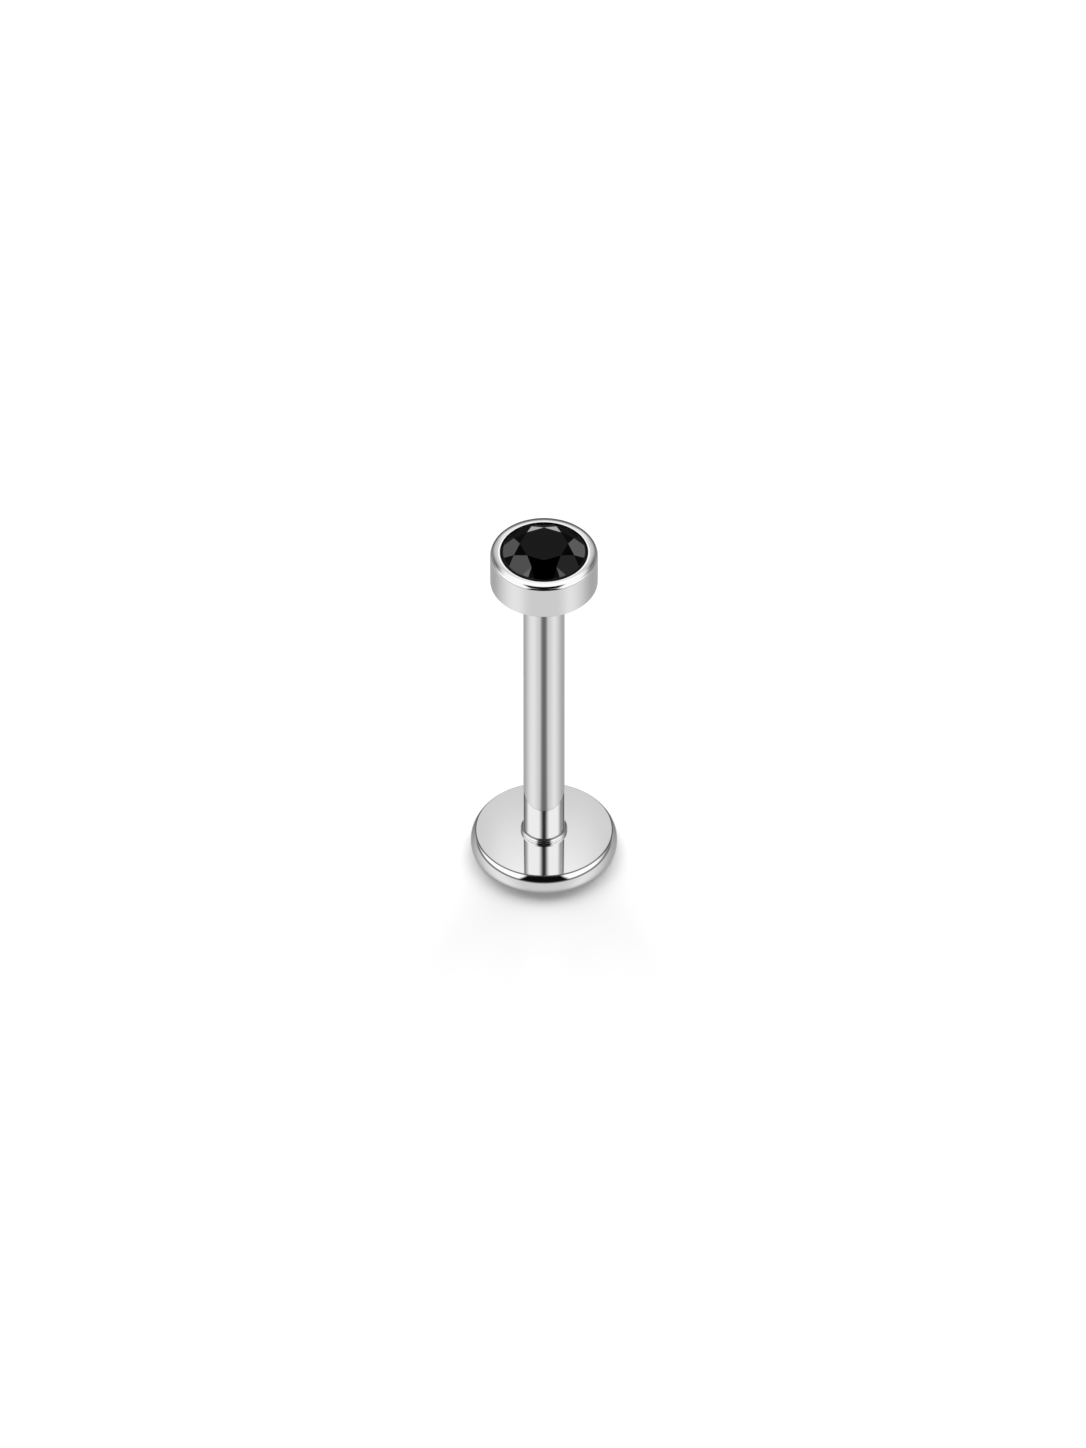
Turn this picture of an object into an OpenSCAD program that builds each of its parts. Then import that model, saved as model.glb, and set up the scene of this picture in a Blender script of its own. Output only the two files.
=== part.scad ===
// Labret stud: a flat back disc with a round post, and a gem top that
// pushes into the open end of the post.
// The origin is the centre of the disc's flat underside, +Z runs up the post.
// Sizes in millimetres.

/* [Post] */
// Diameter of the round post
post_d = 1.2; // [1:0.05:2]
// Bare length of the post, from the disc's front face to the post's open end
post_len = 9.85; // [5:0.05:16]
// Wall of the post round the hole that takes the pin
post_wall = 0.22; // [0.15:0.01:0.3]
// Bevel on the outer edge of the post's open end
post_bevel = 0.05; // [0.02:0.01:0.1]

/* [Back disc] */
// Widest diameter of the disc, round its rim
disc_d = 4.27; // [3.4:0.01:8]
// Thickness of the disc
disc_t = 0.56; // [0.45:0.01:0.9]
// Radius of the rim's rounded section
rim_round_r = 0.565; // [0.5:0.005:0.7]
// How far below the disc's front face the rim is widest
rim_drop = 0.375; // [0.25:0.005:0.44]

/* [Weld bead] */
// Radius of the bead's round section, where the post meets the disc
bead_r = 0.11; // [0.05:0.01:0.2]
// How far the bead's round section is set into the post
bead_inset = 0.03; // [0.01:0.01:0.04]
// How far the bead's round section is sunk into the disc
bead_sink = 0.01; // [0.005:0.005:0.03]

/* [Stone] */
// Girdle diameter of the round brilliant stone
stone_d = 2.68; // [2:0.01:5]
// Table's width across its corners, as a share of the girdle diameter
table_share = 0.543; // [0.5:0.001:0.58]
// Circle through the outer tips of the star facets, as a share of the girdle diameter
star_share = 0.684; // [0.66:0.001:0.72]
// Slope of the crown's main facets, in degrees
crown_angle = 35; // [30:1:40]
// Slope of the pavilion's main facets, in degrees
pavilion_angle = 27; // [22:1:32]
// Circle through the inner tips of the lower girdle facets, as a share of the girdle diameter
lower_share = 0.26; // [0.2:0.01:0.4]
// Height of the girdle's upright edge
girdle_t = 0.08; // [0.04:0.01:0.15]

/* [Bezel setting] */
// Wall of the cup round the girdle
bezel_wall = 0.19; // [0.15:0.01:0.4]
// How far the lip reaches in over the girdle
lip_overlap = 0.06; // [0.04:0.01:0.1]
// Height of the lip's upright inner edge
lip_edge_h = 0.03; // [0.02:0.01:0.08]
// How far the top of the rim falls from its inner edge to its rounded corner
rim_fall = 0.03; // [0.01:0.01:0.04]
// Radius of the rim's rounded outer corner
rim_corner_r = 0.12; // [0.05:0.01:0.15]
// Metal left under the lowest point of the stone's seat
floor_t = 0.21; // [0.15:0.01:0.5]
// Length of the pin below the cup
pin_len = 2.5; // [1.5:0.1:4]
// Bevel on the pin's tip
pin_bevel = 0.08; // [0.02:0.01:0.1]

/* [Clearances] */
// Gap between the stone and the cup's wall and lip
stone_gap = 0.03; // [0.02:0.01:0.05]
// Gap under the stone's pavilion
seat_gap = 0.05; // [0.03:0.01:0.08]
// Gap all round the pin in the post's hole
pin_gap = 0.03; // [0.02:0.01:0.05]
// Free depth of the hole past the pin's tip
hole_spare = 0.4; // [0.1:0.1:1]
// Gap between the post's open end and the underside of the cup
top_gap = 0.02; // [0.01:0.01:0.05]

/* [Hidden] */
$fn = 96;
steel = [0.80, 0.80, 0.82];
black = [0.04, 0.04, 0.05];

// How far a cut runs on past the face that it opens
cut_over = 1;

post_r = post_d / 2;
post_top_z = disc_t + post_len;
hole_r = post_r - post_wall;
hole_depth = pin_len - top_gap + hole_spare;
pin_r = hole_r - pin_gap;

rim_centre_r = disc_d / 2 - rim_round_r;
rim_centre_z = disc_t - rim_drop;

// Main facets of the crown, and the angle from the middle of one to its edge
MAINS = 8;
half_step = 180 / MAINS;
girdle_r = stone_d / 2;
table_r = girdle_r * table_share;
star_r = girdle_r * star_share;
lower_r = girdle_r * lower_share;
crown_h = (girdle_r - table_r) * tan(crown_angle);
pavilion_h = girdle_r * tan(pavilion_angle);

// Heights above the underside of the cup
culet_z = floor_t + seat_gap;
girdle_low_z = culet_z + pavilion_h;
girdle_top_z = girdle_low_z + girdle_t;
lip_rise = lip_overlap * tan(crown_angle);
lip_low_z = girdle_top_z + stone_gap + lip_rise;
bezel_h = lip_low_z + lip_edge_h;

cup_r = girdle_r + stone_gap;
lip_r = girdle_r - lip_overlap;
bezel_r = cup_r + bezel_wall;
bezel_z = post_top_z + top_gap;

// Points spaced round a circle of radius r, the first at the angle start
function ring(r, z, count, start) =
  [for (i = [0:count - 1]) let (a = start + i * 360 / count) [r * cos(a), r * sin(a), z]];

// How far a main facet has risen from the girdle at a tip on the circle of
// radius r, half a step round from the facet's middle
function tip_rise(r, angle) = (girdle_r - r * cos(half_step)) * tan(angle);

module disc_section() {
  intersection() {
    union() {
      square([rim_centre_r, disc_t]);
      translate([rim_centre_r, rim_centre_z]) circle(r = rim_round_r);
    }
    square([disc_d, disc_t]);
  }
}

module post_section() {
  polygon([
    [0, 0],
    [post_r, 0],
    [post_r, post_top_z - post_bevel],
    [post_r - post_bevel, post_top_z],
    [0, post_top_z]
  ]);
}

module bead_section() {
  translate([post_r - bead_inset, disc_t + bead_r - bead_sink]) circle(r = bead_r);
}

module flat_back_post() {
  color(steel) difference() {
    rotate_extrude() {
      disc_section();
      post_section();
      bead_section();
    }
    translate([0, 0, post_top_z - hole_depth]) cylinder(r = hole_r, h = hole_depth + cut_over);
  }
}

// The cup's outside, with a rim that falls outward to a rounded corner
module bezel_section() {
  corner_r = bezel_r - rim_corner_r;
  corner_top_z = bezel_h - rim_fall;
  square([bezel_r, corner_top_z - rim_corner_r]);
  polygon([[0, 0], [corner_r, 0], [corner_r, corner_top_z], [lip_r, bezel_h], [0, bezel_h]]);
  translate([corner_r, corner_top_z - rim_corner_r]) circle(r = rim_corner_r);
}

// The hollow that holds the stone: a seat under the pavilion, an upright wall
// round the girdle, the underside of the lip and the open mouth
module seat_section() {
  polygon([
    [0, floor_t],
    [cup_r, floor_t + cup_r * tan(pavilion_angle)],
    [cup_r, lip_low_z - (cup_r - lip_r) * tan(crown_angle)],
    [lip_r, lip_low_z],
    [lip_r, bezel_h + cut_over],
    [0, bezel_h + cut_over]
  ]);
}

module pin_section() {
  polygon([
    [0, -pin_len],
    [pin_r - pin_bevel, -pin_len],
    [pin_r, pin_bevel - pin_len],
    [pin_r, floor_t / 2],
    [0, floor_t / 2]
  ]);
}

module bezel_setting() {
  color(steel) translate([0, 0, bezel_z]) rotate_extrude() {
    difference() {
      bezel_section();
      seat_section();
    }
    pin_section();
  }
}

// Round brilliant: a table, eight stars, eight crown mains, sixteen upper
// girdle facets, the girdle, and the pavilion's mains and lower girdle facets.
// A corner of the table points to the front.
module stone() {
  table = ring(table_r, girdle_top_z + crown_h, MAINS, 0);
  stars = ring(star_r, girdle_top_z + tip_rise(star_r, crown_angle), MAINS, half_step);
  upper = ring(girdle_r, girdle_top_z, 2 * MAINS, 0);
  lower = ring(girdle_r, girdle_low_z, 2 * MAINS, 0);
  tips = ring(lower_r, girdle_low_z - tip_rise(lower_r, pavilion_angle), MAINS, half_step);
  culet = [[0, 0, culet_z]];

  // Where each ring starts in the joined list of points, which the table opens
  star_at = MAINS;
  upper_at = star_at + MAINS;
  lower_at = upper_at + 2 * MAINS;
  tip_at = lower_at + 2 * MAINS;
  culet_at = tip_at + MAINS;

  function next(k) = (k + 1) % MAINS;
  function last(k) = (k + MAINS - 1) % MAINS;
  function main(k) = 2 * (k % MAINS);

  crown = [for (k = [0:MAINS - 1]) each [
    [k, next(k), star_at + k],
    [k, star_at + k, upper_at + main(k), star_at + last(k)],
    [star_at + k, upper_at + main(k) + 1, upper_at + main(k)],
    [star_at + k, upper_at + main(k + 1), upper_at + main(k) + 1]
  ]];
  girdle = [for (i = [0:2 * MAINS - 1]) let (j = (i + 1) % (2 * MAINS))
    [upper_at + i, upper_at + j, lower_at + j, lower_at + i]];
  pavilion = [for (k = [0:MAINS - 1]) each [
    [tip_at + last(k), lower_at + main(k), tip_at + k, culet_at],
    [lower_at + main(k), lower_at + main(k) + 1, tip_at + k],
    [lower_at + main(k) + 1, lower_at + main(k + 1), tip_at + k]
  ]];
  table_face = [[for (k = [MAINS - 1:-1:0]) k]];

  color(black) translate([0, 0, bezel_z])
    polyhedron(
      points = concat(table, stars, upper, lower, tips, culet),
      faces = concat(table_face, crown, girdle, pavilion)
    );
}

flat_back_post();
bezel_setting();
stone();
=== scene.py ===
"""Looks for the labret stud: mirror-polished turned steel and a black brilliant-cut stone."""

import math

import bmesh
import bpy
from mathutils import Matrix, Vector


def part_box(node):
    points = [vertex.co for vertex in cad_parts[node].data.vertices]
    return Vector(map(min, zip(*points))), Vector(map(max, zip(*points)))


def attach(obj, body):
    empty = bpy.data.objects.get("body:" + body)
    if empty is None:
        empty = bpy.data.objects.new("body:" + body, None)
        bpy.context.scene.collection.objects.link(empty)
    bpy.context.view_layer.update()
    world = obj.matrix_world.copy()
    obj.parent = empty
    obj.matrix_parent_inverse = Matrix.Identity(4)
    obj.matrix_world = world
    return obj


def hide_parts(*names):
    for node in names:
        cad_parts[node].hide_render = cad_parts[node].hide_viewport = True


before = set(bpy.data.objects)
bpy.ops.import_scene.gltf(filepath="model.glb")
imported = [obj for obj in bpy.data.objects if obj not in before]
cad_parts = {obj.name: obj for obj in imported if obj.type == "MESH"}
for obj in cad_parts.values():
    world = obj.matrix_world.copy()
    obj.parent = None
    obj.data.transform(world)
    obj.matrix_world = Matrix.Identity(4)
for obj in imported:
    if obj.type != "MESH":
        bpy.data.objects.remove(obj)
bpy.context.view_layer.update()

MM = 0.001

# Photo: frame in pixels, and where the post's axis and the disc's face lie in it
PHOTO_W, PHOTO_H = 1086, 1448
AXIS_X_PX, FACE_Y_PX = 544.0, 829.8
PX_PER_MM = 34.39
VIEW_ELEVATION = math.radians(42.9)

# Disc, bead and post, in millimetres. CREST_R is the edge of the disc's face, and a
# satin line of painted shade reaches CREST_LINE_IN and CREST_LINE_OUT from it. It fades in above
# shares
# CREST_LINE_FROM of the disc's thickness. The bead's seam, a satin line of painted shade in its
# crease, is BEAD_SEAM high.
DISC_R = 2.135
DISC_T = 0.56
RIM_ROUND_R = 0.565
RIM_DROP = 0.375
DISC_FOOT_R = 0.06
CREST_R = 1.985
CREST_LINE_IN, CREST_LINE_OUT = 0.011, 0.02
CREST_LINE_FROM = (0.7, 0.8)
FACE_DOME = 0.015
BEAD_R = 0.085
BEAD_CENTRE_R = 0.595
BEAD_SINK = 0.01
BEAD_SEAM = 0.011
POST_R = 0.6
POST_BEVEL = 0.05
HOLE_R = 0.38
HOLE_DEPTH = 2.88

# Bezel setting and its pin, in millimetres and, for the rim's slopes, degrees
BEZEL_R = 1.56
RIM_CORNER_R = 0.13
RIM_INNER_SLOPE, RIM_OUTER_SLOPE = 2, 14
LIP_R = 1.28
LIP_EDGE_H = 0.03
CUP_R = 1.37
CUP_FLOOR = 0.21
PIN_R = 0.35
PIN_LEN = 2.5
PIN_BEVEL = 0.08

# Stone, in millimetres, degrees and shares of the girdle radius. MAIN_SPREAD is half the
# turn that a main facet's edge takes along the girdle.
GIRDLE_R = 1.34
GIRDLE_T = 0.08
TABLE_SHARE = 0.52
STAR_SHARE = 0.705
LOWER_SHARE = 0.26
CROWN_ANGLE = 35
PAVILION_ANGLE = 27
MAINS = 8
MAIN_SPREAD = 9
FACET_EDGE, FACET_EDGE_STEPS = 0.006, 2

# Steel's polish: colour, roughness without and with haze, and how fine the haze and the
# hairlines are. Each comes in between two levels of its noise. Satin lines run round the
# edge of the disc's face and the top of the bead, and their dark tint is painted shade.
STEEL_TINT = (0.86, 0.86, 0.865, 1)
STEEL_ROUGHNESS = (0.03, 0.06)
HAIRLINE_ROUGHNESS = 0.03
HAZE_SCALE, HAZE_DETAIL, HAZE_LEVELS = 900, 4, (0.3, 0.75)
HAIRLINES_PER_MM, HAIRLINE_LEVELS = 60, (0.6, 0.75)
# Painted shade: the satin lines' dark grey colour paints a dark line at the face's edge and in the
# bead's crease
PAINTED_SHADE_TINT = (0.2, 0.2, 0.2, 1)
SATIN_ROUGHNESS = 0.4
SATIN_AND_SHADE_SOFT = 0.005

# Stone's polish, and the matte edge that the lip grips, in millimetres from the axis
STONE_TINT = (0.0, 0.0, 0.0, 1)
STONE_IOR = 1.2
STONE_ROUGHNESS = (0.02, 0.06)
STONE_HAZE_SCALE, STONE_HAZE_LEVELS = 1500, (0.3, 0.7)
MATTE_R, MATTE_SOFT, MATTE_ROUGHNESS = 1.19, 0.02, 0.7

# Steps round a turned piece, degrees in a step of a round, steps across the disc's face,
# and in millimetres a plain edge's radius and the least length that counts
TURN_STEPS = 192
ARC_STEP = 4
FACE_STEPS = 12
EDGE_R = 0.012
TINY = 1e-6


def arc(centre, radius, start, end):
    """Strips of an outline along an arc from start to end degrees. A strip is a pair of
    (point, normal)."""
    count = max(2, round(abs(end - start) / ARC_STEP))
    side = 1 if end > start else -1
    ends = []
    for i in range(count + 1):
        angle = math.radians(start + (end - start) * i / count)
        out = Vector((math.cos(angle), math.sin(angle)))
        ends.append((Vector(centre) + out * radius, out * side))
    return list(zip(ends, ends[1:]))


def outline(corners):
    """Strips along an open outline with its solid on the left. A corner is (r, z, radius)."""
    strips, last = [], Vector(corners[0][:2])
    for i in range(1, len(corners)):
        corner, radius = Vector(corners[i][:2]), corners[i][2]
        before = (corner - Vector(corners[i - 1][:2])).normalized()
        stop, rounding = corner, []
        if radius and i < len(corners) - 1:
            after = (Vector(corners[i + 1][:2]) - corner).normalized()
            turn = before.angle_signed(after)
            side = 1 if turn < 0 else -1
            stop = corner - before * radius * math.tan(abs(turn) / 2)
            out = Vector((before.y, -before.x)) * side
            centre = stop - out * radius
            start = math.degrees(math.atan2(out.y, out.x))
            rounding = arc(centre, radius, start, start + side * math.degrees(abs(turn)))
        normal = Vector((before.y, -before.x))
        strips.append(((last, normal), (stop, normal)))
        strips += rounding
        last = rounding[-1][1][0] if rounding else corner
    return strips


def turned(name, strips):
    """A solid turned round +Z from strips of an outline that begins and ends on the axis."""
    mesh = bpy.data.meshes.new(name)
    rings = {}
    points, faces, normals = [], [], []

    def ring(point):
        key = (round(point.x, 7), round(point.y, 7))
        if key not in rings:
            rings[key] = len(points)
            for i in range(TURN_STEPS if point.x > TINY else 1):
                angle = 2 * math.pi * i / TURN_STEPS
                place = Vector((point.x * math.cos(angle), point.x * math.sin(angle), point.y))
                points.append(place * MM)
        return rings[key], point.x > TINY

    def facing(normal, i):
        angle = 2 * math.pi * i / TURN_STEPS
        return (normal.x * math.cos(angle), normal.x * math.sin(angle), normal.y)

    for (low, low_normal), (high, high_normal) in strips:
        if (low - high).length < TINY:
            continue
        (a, a_wide), (b, b_wide) = ring(low), ring(high)
        for i in range(TURN_STEPS):
            j = (i + 1) % TURN_STEPS
            loop = [(a + (i if a_wide else 0), low_normal, i)]
            if a_wide:
                loop.append((a + j, low_normal, i + 1))
            loop.append((b + (j if b_wide else 0), high_normal, i + 1))
            if b_wide:
                loop.append((b + i, high_normal, i))
            faces.append([vertex for vertex, _, _ in loop])
            normals += [facing(normal, k) for _, normal, k in loop]
    mesh.from_pydata(points, [], faces)
    mesh.shade_smooth()
    mesh.normals_split_custom_set(normals)
    piece = bpy.data.objects.new(name, mesh)
    bpy.context.scene.collection.objects.link(piece)
    return piece


def flat_back_post(top):
    """Disc with a faintly domed face and a rounded rim, weld bead, and post open at height top."""
    rim_r, rim_z = DISC_R - RIM_ROUND_R, DISC_T - RIM_DROP
    foot_r = rim_r + math.sqrt((RIM_ROUND_R - DISC_FOOT_R) ** 2 - (DISC_FOOT_R - rim_z) ** 2)
    foot_turn = math.degrees(math.atan2(DISC_FOOT_R - rim_z, foot_r - rim_r))
    crest_turn = math.degrees(math.acos((CREST_R - rim_r) / RIM_ROUND_R))
    crest_z = rim_z + RIM_ROUND_R * math.sin(math.radians(crest_turn))
    bead_z = DISC_T + BEAD_R - BEAD_SINK
    bead_foot = math.degrees(math.asin((DISC_T - bead_z) / BEAD_R))
    bead_head = math.degrees(math.acos((POST_R - BEAD_CENTRE_R) / BEAD_R))
    bead_foot_r = BEAD_CENTRE_R + BEAD_R * math.cos(math.radians(bead_foot))
    bead_head_z = bead_z + BEAD_R * math.sin(math.radians(bead_head))
    face_slope = 2 * FACE_DOME / CREST_R ** 2

    def face(r):
        tilt = Vector((face_slope * r, 1)).normalized()
        return Vector((r, crest_z + face_slope * (CREST_R ** 2 - r ** 2) / 2)), tilt

    down = Vector((0, -1))
    strips = [((Vector((0, 0)), down), (Vector((foot_r, 0)), down))]
    strips += arc((foot_r, DISC_FOOT_R), DISC_FOOT_R, -90, foot_turn)
    strips += arc((rim_r, rim_z), RIM_ROUND_R, foot_turn, crest_turn)
    steps = [CREST_R + (bead_foot_r - CREST_R) * i / FACE_STEPS for i in range(FACE_STEPS + 1)]
    strips += [(face(a), face(b)) for a, b in zip(steps, steps[1:])]
    strips += arc((BEAD_CENTRE_R, bead_z), BEAD_R, bead_foot, bead_head)
    strips += outline([
        (POST_R, bead_head_z, 0),
        (POST_R, top - POST_BEVEL, EDGE_R),
        (POST_R - POST_BEVEL, top, EDGE_R),
        (HOLE_R, top, EDGE_R),
        (HOLE_R, top - HOLE_DEPTH, EDGE_R),
        (0, top - HOLE_DEPTH, 0),
    ])
    return turned("polished_disc_and_post", strips)


def bezel_setting(rim_top):
    """Cup with a rolled rim over the stone's girdle, and the pin under it."""
    slope = math.tan(math.radians(CROWN_ANGLE))
    seat = math.tan(math.radians(PAVILION_ANGLE))
    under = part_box("bezel_setting")[0].z / MM + PIN_LEN
    floor = under + CUP_FLOOR
    lip_low = rim_top - LIP_EDGE_H

    # The rim's broad round meets the tighter round of its outer corner at the outer slope
    inner, outer = math.radians(RIM_INNER_SLOPE), math.radians(RIM_OUTER_SLOPE)
    corner_r = BEZEL_R - RIM_CORNER_R
    meet_r = corner_r + RIM_CORNER_R * math.sin(outer)
    crown_r = (meet_r - LIP_R) / (math.sin(outer) - math.sin(inner))
    crown_z = rim_top - crown_r * math.cos(inner)
    meet_z = crown_z + crown_r * math.cos(outer)
    corner_z = meet_z - RIM_CORNER_R * math.cos(outer)
    strips = outline([
        (0, under - PIN_LEN, 0),
        (PIN_R - PIN_BEVEL, under - PIN_LEN, EDGE_R),
        (PIN_R, under - PIN_LEN + PIN_BEVEL, EDGE_R),
        (PIN_R, under, EDGE_R),
        (BEZEL_R, under, EDGE_R),
        (BEZEL_R, corner_z, 0),
    ])
    strips += arc((corner_r, corner_z), RIM_CORNER_R, 0, 90 - RIM_OUTER_SLOPE)
    crown_centre = (meet_r - crown_r * math.sin(outer), crown_z)
    strips += arc(crown_centre, crown_r, 90 - RIM_OUTER_SLOPE, 90 - RIM_INNER_SLOPE)
    strips += outline([
        (LIP_R, rim_top, 0),
        (LIP_R, lip_low, 0),
        (CUP_R, lip_low - (CUP_R - LIP_R) * slope, 0),
        (CUP_R, floor + CUP_R * seat, 0),
        (0, floor, 0),
    ])
    return turned("polished_bezel", strips)


def stone_mesh(name):
    """Round brilliant with a table corner to the front, its edges very slightly softened."""
    low, high = (corner.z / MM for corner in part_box("stone"))
    half_step = math.pi / MAINS
    spread = math.radians(MAIN_SPREAD)
    pavilion = math.tan(math.radians(PAVILION_ANGLE))
    girdle_low = low + GIRDLE_R * pavilion
    girdle_top = girdle_low + GIRDLE_T
    crown = (high - girdle_top) / (GIRDLE_R * (1 - TABLE_SHARE))
    bm = bmesh.new()

    def fall(share, angle):
        """How far a point on the circle of this share lies inside a main facet's outer edge."""
        return GIRDLE_R * (1 - share * math.cos(angle))

    def ring(share, z, start):
        angles = [start + 2 * half_step * k for k in range(MAINS)]
        r = GIRDLE_R * share * MM
        return [bm.verts.new((r * math.cos(a), r * math.sin(a), z * MM)) for a in angles]

    table = ring(TABLE_SHARE, high, 0)
    stars = ring(STAR_SHARE, girdle_top + crown * fall(STAR_SHARE, half_step), half_step)
    tips = ring(LOWER_SHARE, girdle_low - pavilion * fall(LOWER_SHARE, half_step), half_step)
    upper_z = girdle_top + crown * fall(1, spread)
    lower_z = girdle_low - pavilion * fall(1, spread)
    upper = [ring(1, upper_z, -spread), ring(1, upper_z, spread), ring(1, girdle_top, half_step)]
    lower = [ring(1, lower_z, -spread), ring(1, lower_z, spread), ring(1, girdle_low, half_step)]
    culet = bm.verts.new((0, 0, low * MM))
    bm.faces.new(table)
    for k in range(MAINS):
        following = (k + 1) % MAINS
        first, second, half = (points[k] for points in upper)
        third = upper[0][following]
        low_first, low_second, low_half = (points[k] for points in lower)
        low_third = lower[0][following]
        bm.faces.new((table[k], stars[k], table[following]))
        bm.faces.new((table[k], stars[k - 1], first, second, stars[k]))
        bm.faces.new((stars[k], second, half))
        bm.faces.new((stars[k], half, third))
        bm.faces.new((first, low_first, low_second, second))
        bm.faces.new((second, low_second, low_half, half))
        bm.faces.new((half, low_half, low_third, third))
        bm.faces.new((low_second, tips[k], low_half))
        bm.faces.new((low_half, tips[k], low_third))
        bm.faces.new((low_first, tips[k - 1], culet, tips[k], low_second))
    bmesh.ops.recalc_face_normals(bm, faces=bm.faces)
    bmesh.ops.bevel(
        bm, geom=bm.edges[:], offset=FACET_EDGE * MM,
        segments=FACET_EDGE_STEPS, profile=0.5, affect="EDGES",
    )
    mesh = bpy.data.meshes.new(name)
    bm.to_mesh(mesh)
    bm.free()
    piece = bpy.data.objects.new(name, mesh)
    bpy.context.scene.collection.objects.link(piece)
    return piece


class Nodes:
    """A node tree with short calls for its common nodes."""

    def __init__(self, tree):
        self.tree = tree
        tree.nodes.clear()

    def add(self, kind, **values):
        node = self.tree.nodes.new(kind)
        for key, value in values.items():
            setattr(node, key, value)
        return node

    def link(self, source, target):
        self.tree.links.new(source, target)

    def fill(self, sockets, values):
        """Sets each socket to its number, or links its value to it."""
        for socket, value in zip(sockets, values):
            if isinstance(value, (int, float)):
                socket.default_value = value
            else:
                self.link(value, socket)

    def math(self, operation, *inputs):
        node = self.add("ShaderNodeMath", operation=operation)
        self.fill(node.inputs, inputs)
        return node.outputs[0]

    def ramp(self, value, low, high, to_low=0.0, to_high=1.0):
        """A smooth step from to_low at low to to_high at high."""
        node = self.add("ShaderNodeMapRange", interpolation_type="SMOOTHSTEP")
        self.fill(node.inputs, (value, low, high, to_low, to_high))
        return node.outputs[0]

    def band(self, value, low, high, soft):
        """1 between low and high, and 0 beyond them."""
        rise = self.ramp(value, low - soft, low + soft)
        return self.math("MULTIPLY", rise, self.ramp(value, high - soft, high + soft, 1, 0))

    def curve(self, value, points):
        """Straight lines between (value, result) points. The first is at 0, and all
        results lie within 0 to 1."""
        reach = points[-1][0]
        node = self.add("ShaderNodeFloatCurve")
        self.link(self.math("DIVIDE", value, reach), node.inputs["Value"])
        line = node.mapping.curves[0]
        while len(line.points) < len(points):
            line.points.new(0.5, 0.5)
        for point, (at, result) in zip(line.points, points):
            point.location = (at / reach, result)
            point.handle_type = "VECTOR"
        node.mapping.update()
        return node.outputs[0]

    def tint(self, share, first, second):
        """A colour between two, by share."""
        node = self.add("ShaderNodeMix", data_type="RGBA")
        self.link(share, node.inputs[0])
        node.inputs[6].default_value = first
        node.inputs[7].default_value = second
        return node.outputs[2]

    def cylindrical(self, place):
        """Distance from the axis and height, in millimetres."""
        axes = self.add("ShaderNodeSeparateXYZ")
        self.link(place, axes.inputs[0])
        x, y, z = axes.outputs
        return self.math("DIVIDE", self.length(x, y), MM), self.math("DIVIDE", z, MM)

    def length(self, x, y):
        """Length of the vector (x, y)."""
        squares = self.math("POWER", x, 2), self.math("POWER", y, 2)
        return self.math("SQRT", self.math("ADD", *squares))

    def blend(self, share, first, second):
        """A number between two, by share."""
        node = self.add("ShaderNodeMix", data_type="FLOAT")
        self.fill((node.inputs[0], node.inputs[2], node.inputs[3]), (share, first, second))
        return node.outputs[0]


def principled_material(name):
    """A material, its nodes and its main shader."""
    material = bpy.data.materials.new(name)
    material.use_nodes = True
    nodes = Nodes(material.node_tree)
    shader = nodes.add("ShaderNodeBsdfPrincipled")
    nodes.link(shader.outputs[0], nodes.add("ShaderNodeOutputMaterial").inputs["Surface"])
    return material, nodes, shader


def steel_material():
    """Mirror-polished steel with faint haze, fine hairlines round the axis, and satin lines of
    painted shade.
    """
    material, nodes, shader = principled_material("mirror_polished_steel")
    shader.inputs["Metallic"].default_value = 1.0
    place = nodes.add("ShaderNodeTexCoord").outputs["Object"]
    radius, height = nodes.cylindrical(place)

    # Satin lines with painted shade: just outside the edge of the disc's face, and along the
    # bead's seam
    line = nodes.band(radius, CREST_R - CREST_LINE_IN, CREST_R + CREST_LINE_OUT, SATIN_AND_SHADE_SOFT)
    line_low, line_high = (DISC_T * share for share in CREST_LINE_FROM)
    line = nodes.math("MULTIPLY", line, nodes.ramp(height, line_low, line_high))
    bead_top = DISC_T + 2 * BEAD_R - BEAD_SINK
    seam = nodes.band(height, bead_top - BEAD_SEAM, bead_top, SATIN_AND_SHADE_SOFT)
    line = nodes.math("MAXIMUM", line, seam)
    # Painted shade: the lines take the dark tint, which stands in for shade at the face's edge and
    # in the bead's crease
    nodes.link(nodes.tint(line, STEEL_TINT, PAINTED_SHADE_TINT), shader.inputs["Base Color"])

    haze = nodes.add("ShaderNodeTexNoise")
    haze.inputs["Scale"].default_value = HAZE_SCALE
    haze.inputs["Detail"].default_value = HAZE_DETAIL
    nodes.link(place, haze.inputs["Vector"])
    lathe = nodes.add("ShaderNodeCombineXYZ")
    nodes.link(nodes.math("MULTIPLY", radius, HAIRLINES_PER_MM), lathe.inputs[0])
    nodes.link(nodes.math("MULTIPLY", height, HAIRLINES_PER_MM), lathe.inputs[1])
    hairs = nodes.add("ShaderNodeTexNoise")
    hairs.inputs["Scale"].default_value = 1
    nodes.link(lathe.outputs[0], hairs.inputs["Vector"])
    polish = nodes.ramp(haze.outputs["Fac"], *HAZE_LEVELS, *STEEL_ROUGHNESS)
    scratch = nodes.ramp(hairs.outputs["Fac"], *HAIRLINE_LEVELS, 0, HAIRLINE_ROUGHNESS)
    polish = nodes.math("ADD", polish, scratch)
    nodes.link(nodes.blend(line, polish, SATIN_ROUGHNESS), shader.inputs["Roughness"])
    return material


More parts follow.
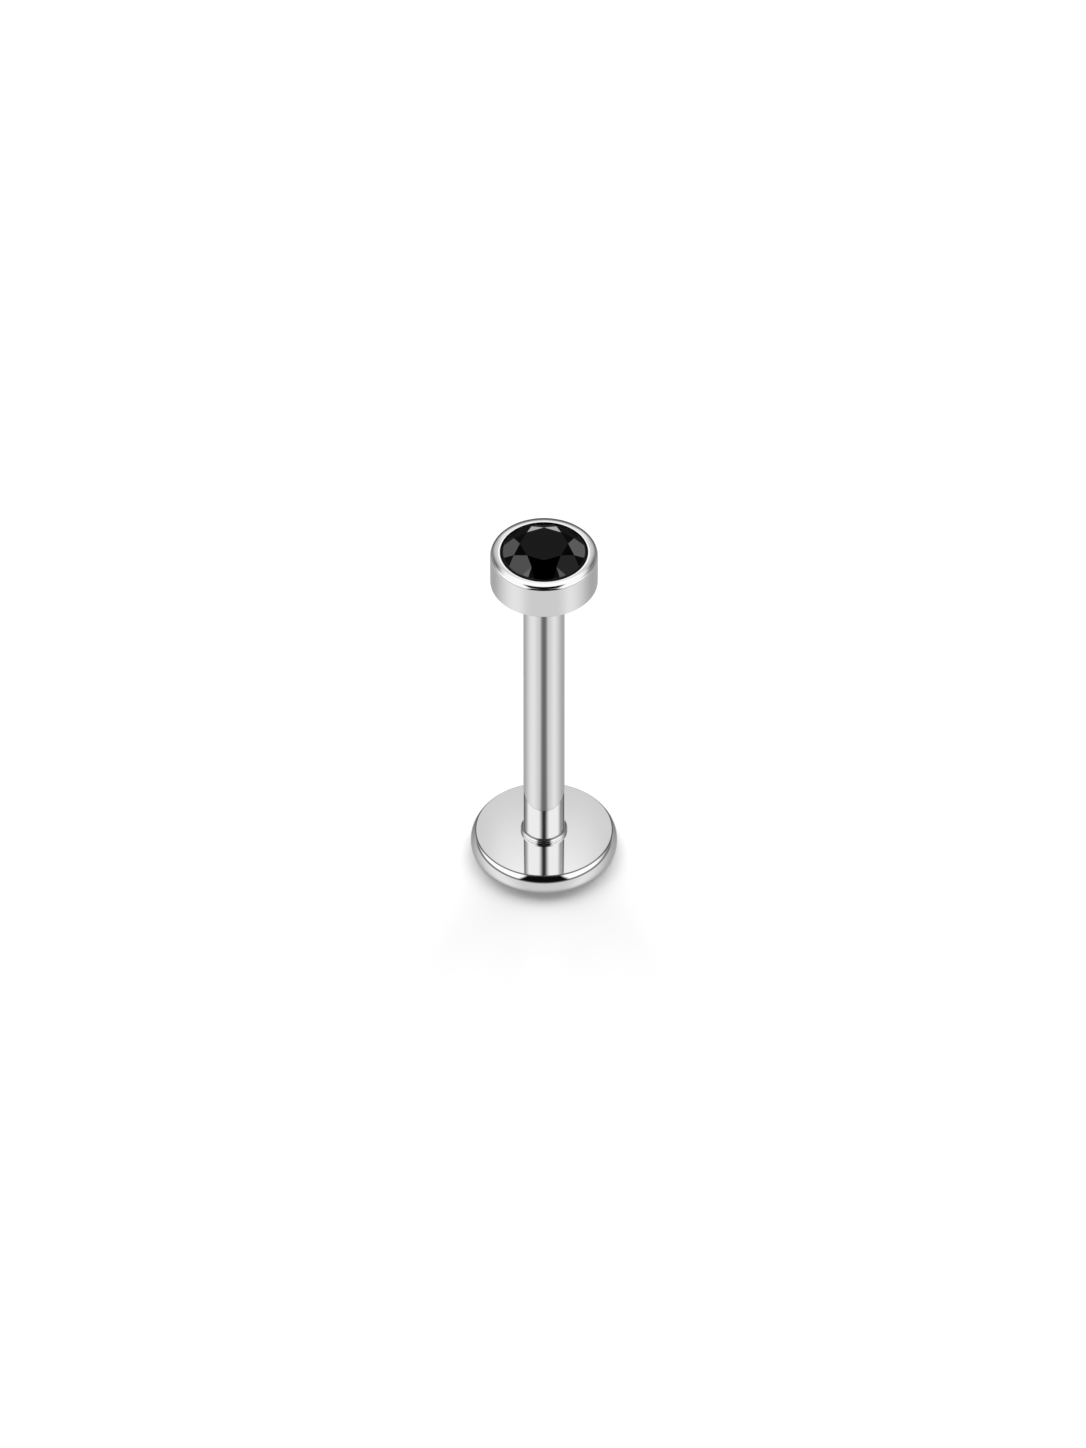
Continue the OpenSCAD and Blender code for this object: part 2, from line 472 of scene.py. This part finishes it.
def stone_material():
    """Opaque black stone with a glassy polish, matte at the edge that the lip grips."""
    material, nodes, shader = principled_material("black_faceted_stone")
    shader.inputs["Base Color"].default_value = STONE_TINT
    shader.inputs["IOR"].default_value = STONE_IOR
    place = nodes.add("ShaderNodeTexCoord").outputs["Object"]
    radius, _ = nodes.cylindrical(place)
    haze = nodes.add("ShaderNodeTexNoise")
    haze.inputs["Scale"].default_value = STONE_HAZE_SCALE
    nodes.link(place, haze.inputs["Vector"])
    polish = nodes.ramp(haze.outputs["Fac"], *STONE_HAZE_LEVELS, *STONE_ROUGHNESS)
    edge = nodes.ramp(radius, MATTE_R - MATTE_SOFT, MATTE_R + MATTE_SOFT)
    nodes.link(nodes.blend(edge, polish, MATTE_ROUGHNESS), shader.inputs["Roughness"])
    return material


# What the polished pieces mirror, by direction in degrees. Azimuth 0 is the
# front, 90 the right and 180 the back. Radiance 1 is white paper.
FLOOR_FRONT, FLOOR_SIDE, FLOOR_REAR = 0.69, 0.88, 0.43
FLOOR_UNDER = 0.45
SIDE_LIGHT, REAR_SHADE = 1.14, 0.27
CEILING = 1.1
BACK_FOOT = 0.05
HORIZON_LINE = 0.2

# Degrees over which one tone gives way to the next, round from the front or up.
# The side lights sit a little clockwise, so their ends lean.
FLOOR_TO_WALL = (-2, 2)
FRONT_TO_SIDE = (25, 62)
SIDE_TO_REAR = (60, 135)
LIGHT_TO_SHADE = (84, 118)
LEAN = 6
WALL_TO_CEILING = (38, 58)
FLOOR_FOOT_ROUND, FLOOR_FOOT_UP = (120, 172), (-40, -15)
FLOOR_UNDER_UP = (-76, -43)
WALL_FOOT_ROUND, WALL_FOOT_UP = (130, 165), (12, 26)
HORIZON_ROUND, HORIZON_UP, HORIZON_SOFT = (112, 130), (-5, 4.5), 1.8

# Patches of the back wall, each laid over those before it:
# azimuth of its middle, half its width, lowest and highest elevation, soft edge, radiance
PATCHES = (
    (180, 45, 36, 50, 5, 0.12),
    (180, 23, 30, 66, 9, 0.7),
    (180, 13, 28, 36, 4, 1.0),
    (180, 26, 52, 80, 4, 1.14),
)

# A bright ring on the back wall, round what level faces mirror: the cup's rim shows it
# next to the lip. Its inner and outer radius, soft edge and radiance.
RING_REACH, RING_SOFT, RING_LIGHT = (3.2, 7.5), 0.8, 1.12

# A glow on the back wall, which the disc's face mirrors: elevation, radius, how far
# sideways it keeps its strength and where it ends, and radiance added
GLOW_MIDDLE, GLOW_REACH = 45.5, 4.6
GLOW_SIDES = (0.7, 1.3)
GLOW = 0.32

# The dark slot that the camera looks in by runs up from the front horizon to past
# overhead. SLOT_ENDS are degrees from the front horizon. Half the slot's width, its
# soft edge and its radiance go by elevation, which counts on past 90 behind. Widths and
# edges are distances sideways on a sphere of radius 1.
SLOT_ENDS, SLOT_END_SOFT = (1, 107), 2
SLOT_WIDTHS = (
    (0, 0.6), (12, 0.53), (25, 0.44), (38, 0.37), (40, 0.37), (41, 0.22),
    (45.5, 0.22), (46.5, 0.42), (70, 0.33), (107, 0.33), (109, 0.1), (180, 0.1),
)
SLOT_EDGES = ((0, 0.05), (40, 0.05), (41, 0.18), (45.5, 0.18), (46.5, 0.05), (180, 0.05))
SLOT_LEVELS = (
    (0, 0.004), (40, 0.004), (41, 0.035), (45.5, 0.035), (46.5, 0.004), (180, 0.004),
)

# Even light from all round on what doesn't mirror
AMBIENT = 0.22


def floor_radiance(nodes, turn, leaning, elevation):
    """Floor, brightest to the sides and dim at the back, where it meets the wall darkest.
    It is dim straight below too, where the stud shades it."""
    floor = nodes.blend(nodes.ramp(turn, *FRONT_TO_SIDE), FLOOR_FRONT, FLOOR_SIDE)
    floor = nodes.blend(nodes.ramp(leaning, *SIDE_TO_REAR), floor, FLOOR_REAR)
    deep = nodes.blend(nodes.ramp(elevation, *FLOOR_FOOT_UP), floor, BACK_FOOT)
    floor = nodes.blend(nodes.ramp(turn, *FLOOR_FOOT_ROUND), floor, deep)
    return nodes.blend(nodes.ramp(elevation, *FLOOR_UNDER_UP, 1, 0), floor, FLOOR_UNDER)


def wall_radiance(nodes, azimuth, turn, leaning, elevation):
    """Side lights, shaded towards the rear, under a bright ceiling, with the back's patches."""
    wall = nodes.blend(nodes.ramp(leaning, *LIGHT_TO_SHADE), SIDE_LIGHT, REAR_SHADE)
    wall = nodes.blend(nodes.ramp(elevation, *WALL_TO_CEILING), wall, CEILING)
    foot = nodes.ramp(elevation, *WALL_FOOT_UP, 1, 0)
    foot = nodes.math("MULTIPLY", nodes.ramp(turn, *WALL_FOOT_ROUND), foot)
    wall = nodes.blend(foot, wall, BACK_FOOT)
    for middle, half_width, lowest, highest, soft, level in PATCHES:
        off = nodes.math("WRAP", nodes.math("SUBTRACT", azimuth, middle), 180, -180)
        off = nodes.math("ABSOLUTE", off)
        share = nodes.ramp(off, half_width - soft, half_width + soft, 1, 0)
        share = nodes.math("MULTIPLY", share, nodes.band(elevation, lowest, highest, soft))
        wall = nodes.blend(share, wall, level)
    return wall


def glow_and_ring(nodes, wall, x, climb):
    """The wall with the glow that the disc's face mirrors, and the ring round it."""
    sideways = nodes.math("DEGREES", nodes.math("ARCSINE", x))
    back_climb = nodes.math("SUBTRACT", 180, climb)
    rise = nodes.math("SUBTRACT", back_climb, GLOW_MIDDLE)
    glow = nodes.ramp(nodes.length(sideways, rise), 0, GLOW_REACH, 1, 0)
    within = nodes.ramp(nodes.math("ABSOLUTE", sideways), *GLOW_SIDES, 1, 0)
    glow = nodes.math("MULTIPLY", glow, within)
    wall = nodes.math("ADD", wall, nodes.math("MULTIPLY", glow, GLOW))
    rise = nodes.math("SUBTRACT", back_climb, math.degrees(VIEW_ELEVATION))
    ring = nodes.band(nodes.length(sideways, rise), *RING_REACH, RING_SOFT)
    return nodes.blend(ring, wall, RING_LIGHT)


def slot_over(nodes, radiance, x, front, elevation, climb):
    """The radiance with the dark slot over it."""
    behind = nodes.math("LESS_THAN", front, 0)
    height = nodes.blend(behind, elevation, nodes.math("SUBTRACT", 180, elevation))
    past = nodes.math("SUBTRACT", nodes.math("ABSOLUTE", x), nodes.curve(height, SLOT_WIDTHS))
    past = nodes.math("DIVIDE", past, nodes.curve(height, SLOT_EDGES))
    inside = nodes.ramp(past, -1, 1, 1, 0)
    share = nodes.math("MULTIPLY", inside, nodes.band(climb, *SLOT_ENDS, SLOT_END_SOFT))
    return nodes.blend(share, radiance, nodes.curve(height, SLOT_LEVELS))


def studio_radiance(nodes):
    """Radiance of the studio in the direction that a polished piece mirrors."""
    axes = nodes.add("ShaderNodeSeparateXYZ")
    nodes.link(nodes.add("ShaderNodeTexCoord").outputs["Generated"], axes.inputs[0])
    x, y, z = axes.outputs
    front = nodes.math("MULTIPLY", y, -1)
    azimuth = nodes.math("DEGREES", nodes.math("ARCTAN2", x, front))
    turn = nodes.math("ABSOLUTE", azimuth)
    leaning = nodes.math("ABSOLUTE", nodes.math("ADD", azimuth, LEAN))
    elevation = nodes.math("DEGREES", nodes.math("ARCSINE", z))
    climb = nodes.math("DEGREES", nodes.math("ARCTAN2", z, front))

    floor = floor_radiance(nodes, turn, leaning, elevation)
    wall = wall_radiance(nodes, azimuth, turn, leaning, elevation)
    wall = glow_and_ring(nodes, wall, x, climb)
    radiance = nodes.blend(nodes.ramp(elevation, *FLOOR_TO_WALL), floor, wall)
    line = nodes.band(elevation, *HORIZON_UP, HORIZON_SOFT)
    line = nodes.math("MULTIPLY", line, nodes.ramp(turn, *HORIZON_ROUND, 1, 0))
    radiance = nodes.blend(line, radiance, HORIZON_LINE)
    return slot_over(nodes, radiance, x, front, elevation, climb)


def studio_world():
    """White to the camera, a soft even fill for the floor, and the studio for mirrored rays."""
    world = bpy.data.worlds.new("studio")
    bpy.context.scene.world = world
    world.use_nodes = True
    world.cycles.sampling_method = "NONE"
    nodes = Nodes(world.node_tree)
    path = nodes.add("ShaderNodeLightPath")
    seen = nodes.blend(path.outputs["Is Camera Ray"], AMBIENT, 1.0)
    seen = nodes.blend(path.outputs["Is Glossy Ray"], seen, studio_radiance(nodes))
    background = nodes.add("ShaderNodeBackground")
    background.inputs["Color"].default_value = (1, 1, 1, 1)
    nodes.link(seen, background.inputs["Strength"])
    nodes.link(background.outputs[0], nodes.add("ShaderNodeOutputWorld").inputs["Surface"])


# A flag just above the floor in front. At the photo's angle the post alone mirrors it,
# as a soft dark stripe that makes the post look round. Height, reach and fade are in
# millimetres, and its full strength and edge in degrees each side of the front.
FLAG_Z, FLAG_NEAR, FLAG_FAR = 0.42, 2.1, 11.9
FLAG_FADE = 0.9
FLAG_CORE, FLAG_EDGE = 5, 27
FLAG_RADIANCE = 0.16
FLAG_STEPS = 16


def flag_card():
    """A ring segment that only mirrored rays from above see."""
    points = []
    for r in (FLAG_NEAR, FLAG_FAR):
        for i in range(FLAG_STEPS + 1):
            angle = math.radians(FLAG_EDGE * (2 * i / FLAG_STEPS - 1))
            points.append(Vector((r * math.sin(angle), -r * math.cos(angle), FLAG_Z)) * MM)
    row = FLAG_STEPS + 1
    faces = [(i, i + row, i + row + 1, i + 1) for i in range(FLAG_STEPS)]
    mesh = bpy.data.meshes.new("flag")
    mesh.from_pydata(points, [], faces)
    card = bpy.data.objects.new("flag", mesh)
    bpy.context.scene.collection.objects.link(card)
    mesh.materials.append(flag_material())
    card.visible_camera = card.visible_diffuse = card.visible_shadow = False
    card.visible_transmission = card.visible_volume_scatter = False


def flag_material():
    """An even glow from above, fading to clear at the flag's sides and far end."""
    material = bpy.data.materials.new("flag")
    material.use_nodes = True
    material.cycles.emission_sampling = "NONE"
    nodes = Nodes(material.node_tree)
    place = nodes.add("ShaderNodeTexCoord").outputs["Object"]
    axes = nodes.add("ShaderNodeSeparateXYZ")
    nodes.link(place, axes.inputs[0])
    x, y, _ = axes.outputs
    turn = nodes.math("DEGREES", nodes.math("ARCTAN2", x, nodes.math("MULTIPLY", y, -1)))
    radius, _ = nodes.cylindrical(place)
    share = nodes.ramp(nodes.math("ABSOLUTE", turn), FLAG_CORE, FLAG_EDGE, 1, 0)
    far = nodes.ramp(radius, FLAG_FAR - FLAG_FADE, FLAG_FAR, 1, 0)
    share = nodes.math("MULTIPLY", share, far)
    below = nodes.add("ShaderNodeNewGeometry").outputs["Backfacing"]
    share = nodes.math("MULTIPLY", share, nodes.math("SUBTRACT", 1, below))
    emission = nodes.add("ShaderNodeEmission")
    emission.inputs["Strength"].default_value = FLAG_RADIANCE
    mix = nodes.add("ShaderNodeMixShader")
    nodes.link(share, mix.inputs[0])
    nodes.link(nodes.add("ShaderNodeBsdfTransparent").outputs[0], mix.inputs[1])
    nodes.link(emission.outputs[0], mix.inputs[2])
    nodes.link(mix.outputs[0], nodes.add("ShaderNodeOutputMaterial").inputs["Surface"])
    return material


# Floor, in millimetres: half its side, and how far it lies under the stud
FLOOR_HALF, FLOOR_DROP = 600, 0.02
FLOOR_TINT, FLOOR_ROUGHNESS = (0.9, 0.9, 0.9, 1), 0.9


def floor_plane():
    """Pale floor that takes the stud's shadow and isn't mirrored."""
    corners = ((-1, -1), (1, -1), (1, 1), (-1, 1))
    points = [Vector((x * FLOOR_HALF, y * FLOOR_HALF, -FLOOR_DROP)) * MM for x, y in corners]
    mesh = bpy.data.meshes.new("floor")
    mesh.from_pydata(points, [], [(0, 1, 2, 3)])
    floor = bpy.data.objects.new("floor", mesh)
    bpy.context.scene.collection.objects.link(floor)
    material, _, shader = principled_material("pale_floor")
    shader.inputs["Base Color"].default_value = FLOOR_TINT
    shader.inputs["Roughness"].default_value = FLOOR_ROUGHNESS
    shader.inputs["Specular IOR Level"].default_value = 0.0
    mesh.materials.append(material)
    floor.visible_glossy = False


def pointing_down(azimuth, elevation):
    """The way that light travels from a direction in degrees."""
    a, e = math.radians(azimuth), math.radians(elevation)
    return -Vector((math.cos(e) * math.sin(a), -math.cos(e) * math.cos(a), math.sin(e)))


def far_lamp(name, azimuth, elevation, width, energy):
    """A lamp so far off that its light is parallel, of that width in degrees."""
    light = bpy.data.lights.new(name, "SUN")
    light.energy = energy
    light.angle = math.radians(width)
    lamp = bpy.data.objects.new(name, light)
    bpy.context.scene.collection.objects.link(lamp)
    lamp.rotation_mode = "QUATERNION"
    lamp.rotation_quaternion = pointing_down(azimuth, elevation).to_track_quat("-Z", "Y")
    return lamp


# Lamps on the floor from behind: azimuth, elevation, width and energy
FLOOR_LAMPS = (
    (180, 39, 32, 0.65),
    (159, 39, 32, 1.15),
    (-159, 39, 32, 1.15),
    (138, 39, 32, 0.75),
    (-138, 39, 32, 0.75),
    (114, 44, 32, 0.22),
    (-114, 44, 32, 0.22),
)

# Small lamps that only the stone mirrors, one for each group of facets that
# shines: azimuth, elevation, width and radiance
STONE_LAMPS = (
    (-82, 48, 32, 7.7),
    (-62, 52, 11, 7.7),
    (68, 47, 24, 10.5),
    (93, 46, 16, 1.2),
    (-139, 14, 15, 3.4),
    (139, 14, 15, 4.2),
    (180, 7, 20, 6.0),
)


def lamps(stone):
    """Floor lamps that nothing mirrors, and stone lamps that light nothing else."""
    for azimuth, elevation, width, energy in FLOOR_LAMPS:
        far_lamp("floor_lamp", azimuth, elevation, width, energy).visible_glossy = False
    receivers = bpy.data.collections.new("lit_by_stone_lamps")
    receivers.objects.link(stone)
    for azimuth, elevation, width, radiance in STONE_LAMPS:
        energy = radiance * math.pi * math.sin(math.radians(width / 2)) ** 2
        lamp = far_lamp("stone_lamp", azimuth, elevation, width, energy)
        lamp.light_linking.receiver_collection = receivers


# Camera: metres from what it looks at, sensor in millimetres, and near and far limits
CAMERA_DISTANCE = 1.0
SENSOR_WIDTH = 36.0
CLIP_START, CLIP_END = 0.05, 5.0


def photo_camera():
    """A long lens at the photo's angle, aimed so that the stud falls on the photo's pixels.
    The frame is upright, so the sensor's width spans its height."""
    data = bpy.data.cameras.new("camera")
    camera = bpy.data.objects.new("camera", data)
    bpy.context.scene.collection.objects.link(camera)
    data.sensor_width = SENSOR_WIDTH
    frame_height = PHOTO_H / PX_PER_MM * MM
    data.lens = SENSOR_WIDTH * CAMERA_DISTANCE / frame_height
    data.clip_start, data.clip_end = CLIP_START, CLIP_END
    aim_x = (PHOTO_W / 2 - AXIS_X_PX) / PX_PER_MM * MM
    rise = (FACE_Y_PX - PHOTO_H / 2) / PX_PER_MM * MM / math.cos(VIEW_ELEVATION)
    aim = Vector((aim_x, 0, DISC_T * MM + rise))
    back = Vector((0, -math.cos(VIEW_ELEVATION), math.sin(VIEW_ELEVATION)))
    camera.location = aim + back * CAMERA_DISTANCE
    camera.rotation_mode = "QUATERNION"
    camera.rotation_quaternion = (-back).to_track_quat("-Z", "Y")
    bpy.context.scene.camera = camera


post_piece = flat_back_post(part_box("flat_back_post")[1].z / MM)
bezel_piece = bezel_setting(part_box("bezel_setting")[1].z / MM)
stone_piece = stone_mesh("brilliant_cut_stone")
steel, black = steel_material(), stone_material()
for piece, node, body, slot, material in (
    (post_piece, "flat_back_post", "stem", "polished_steel", steel),
    (bezel_piece, "bezel_setting", "gem_top", "polished_steel", steel),
    (stone_piece, "stone", "gem_top", "black_stone", black),
):
    piece.data.materials.append(material)
    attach(piece, body)
    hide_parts(node)

studio_world()
floor_plane()
flag_card()
lamps(stone_piece)
photo_camera()
bpy.context.scene.view_settings.view_transform = "Standard"
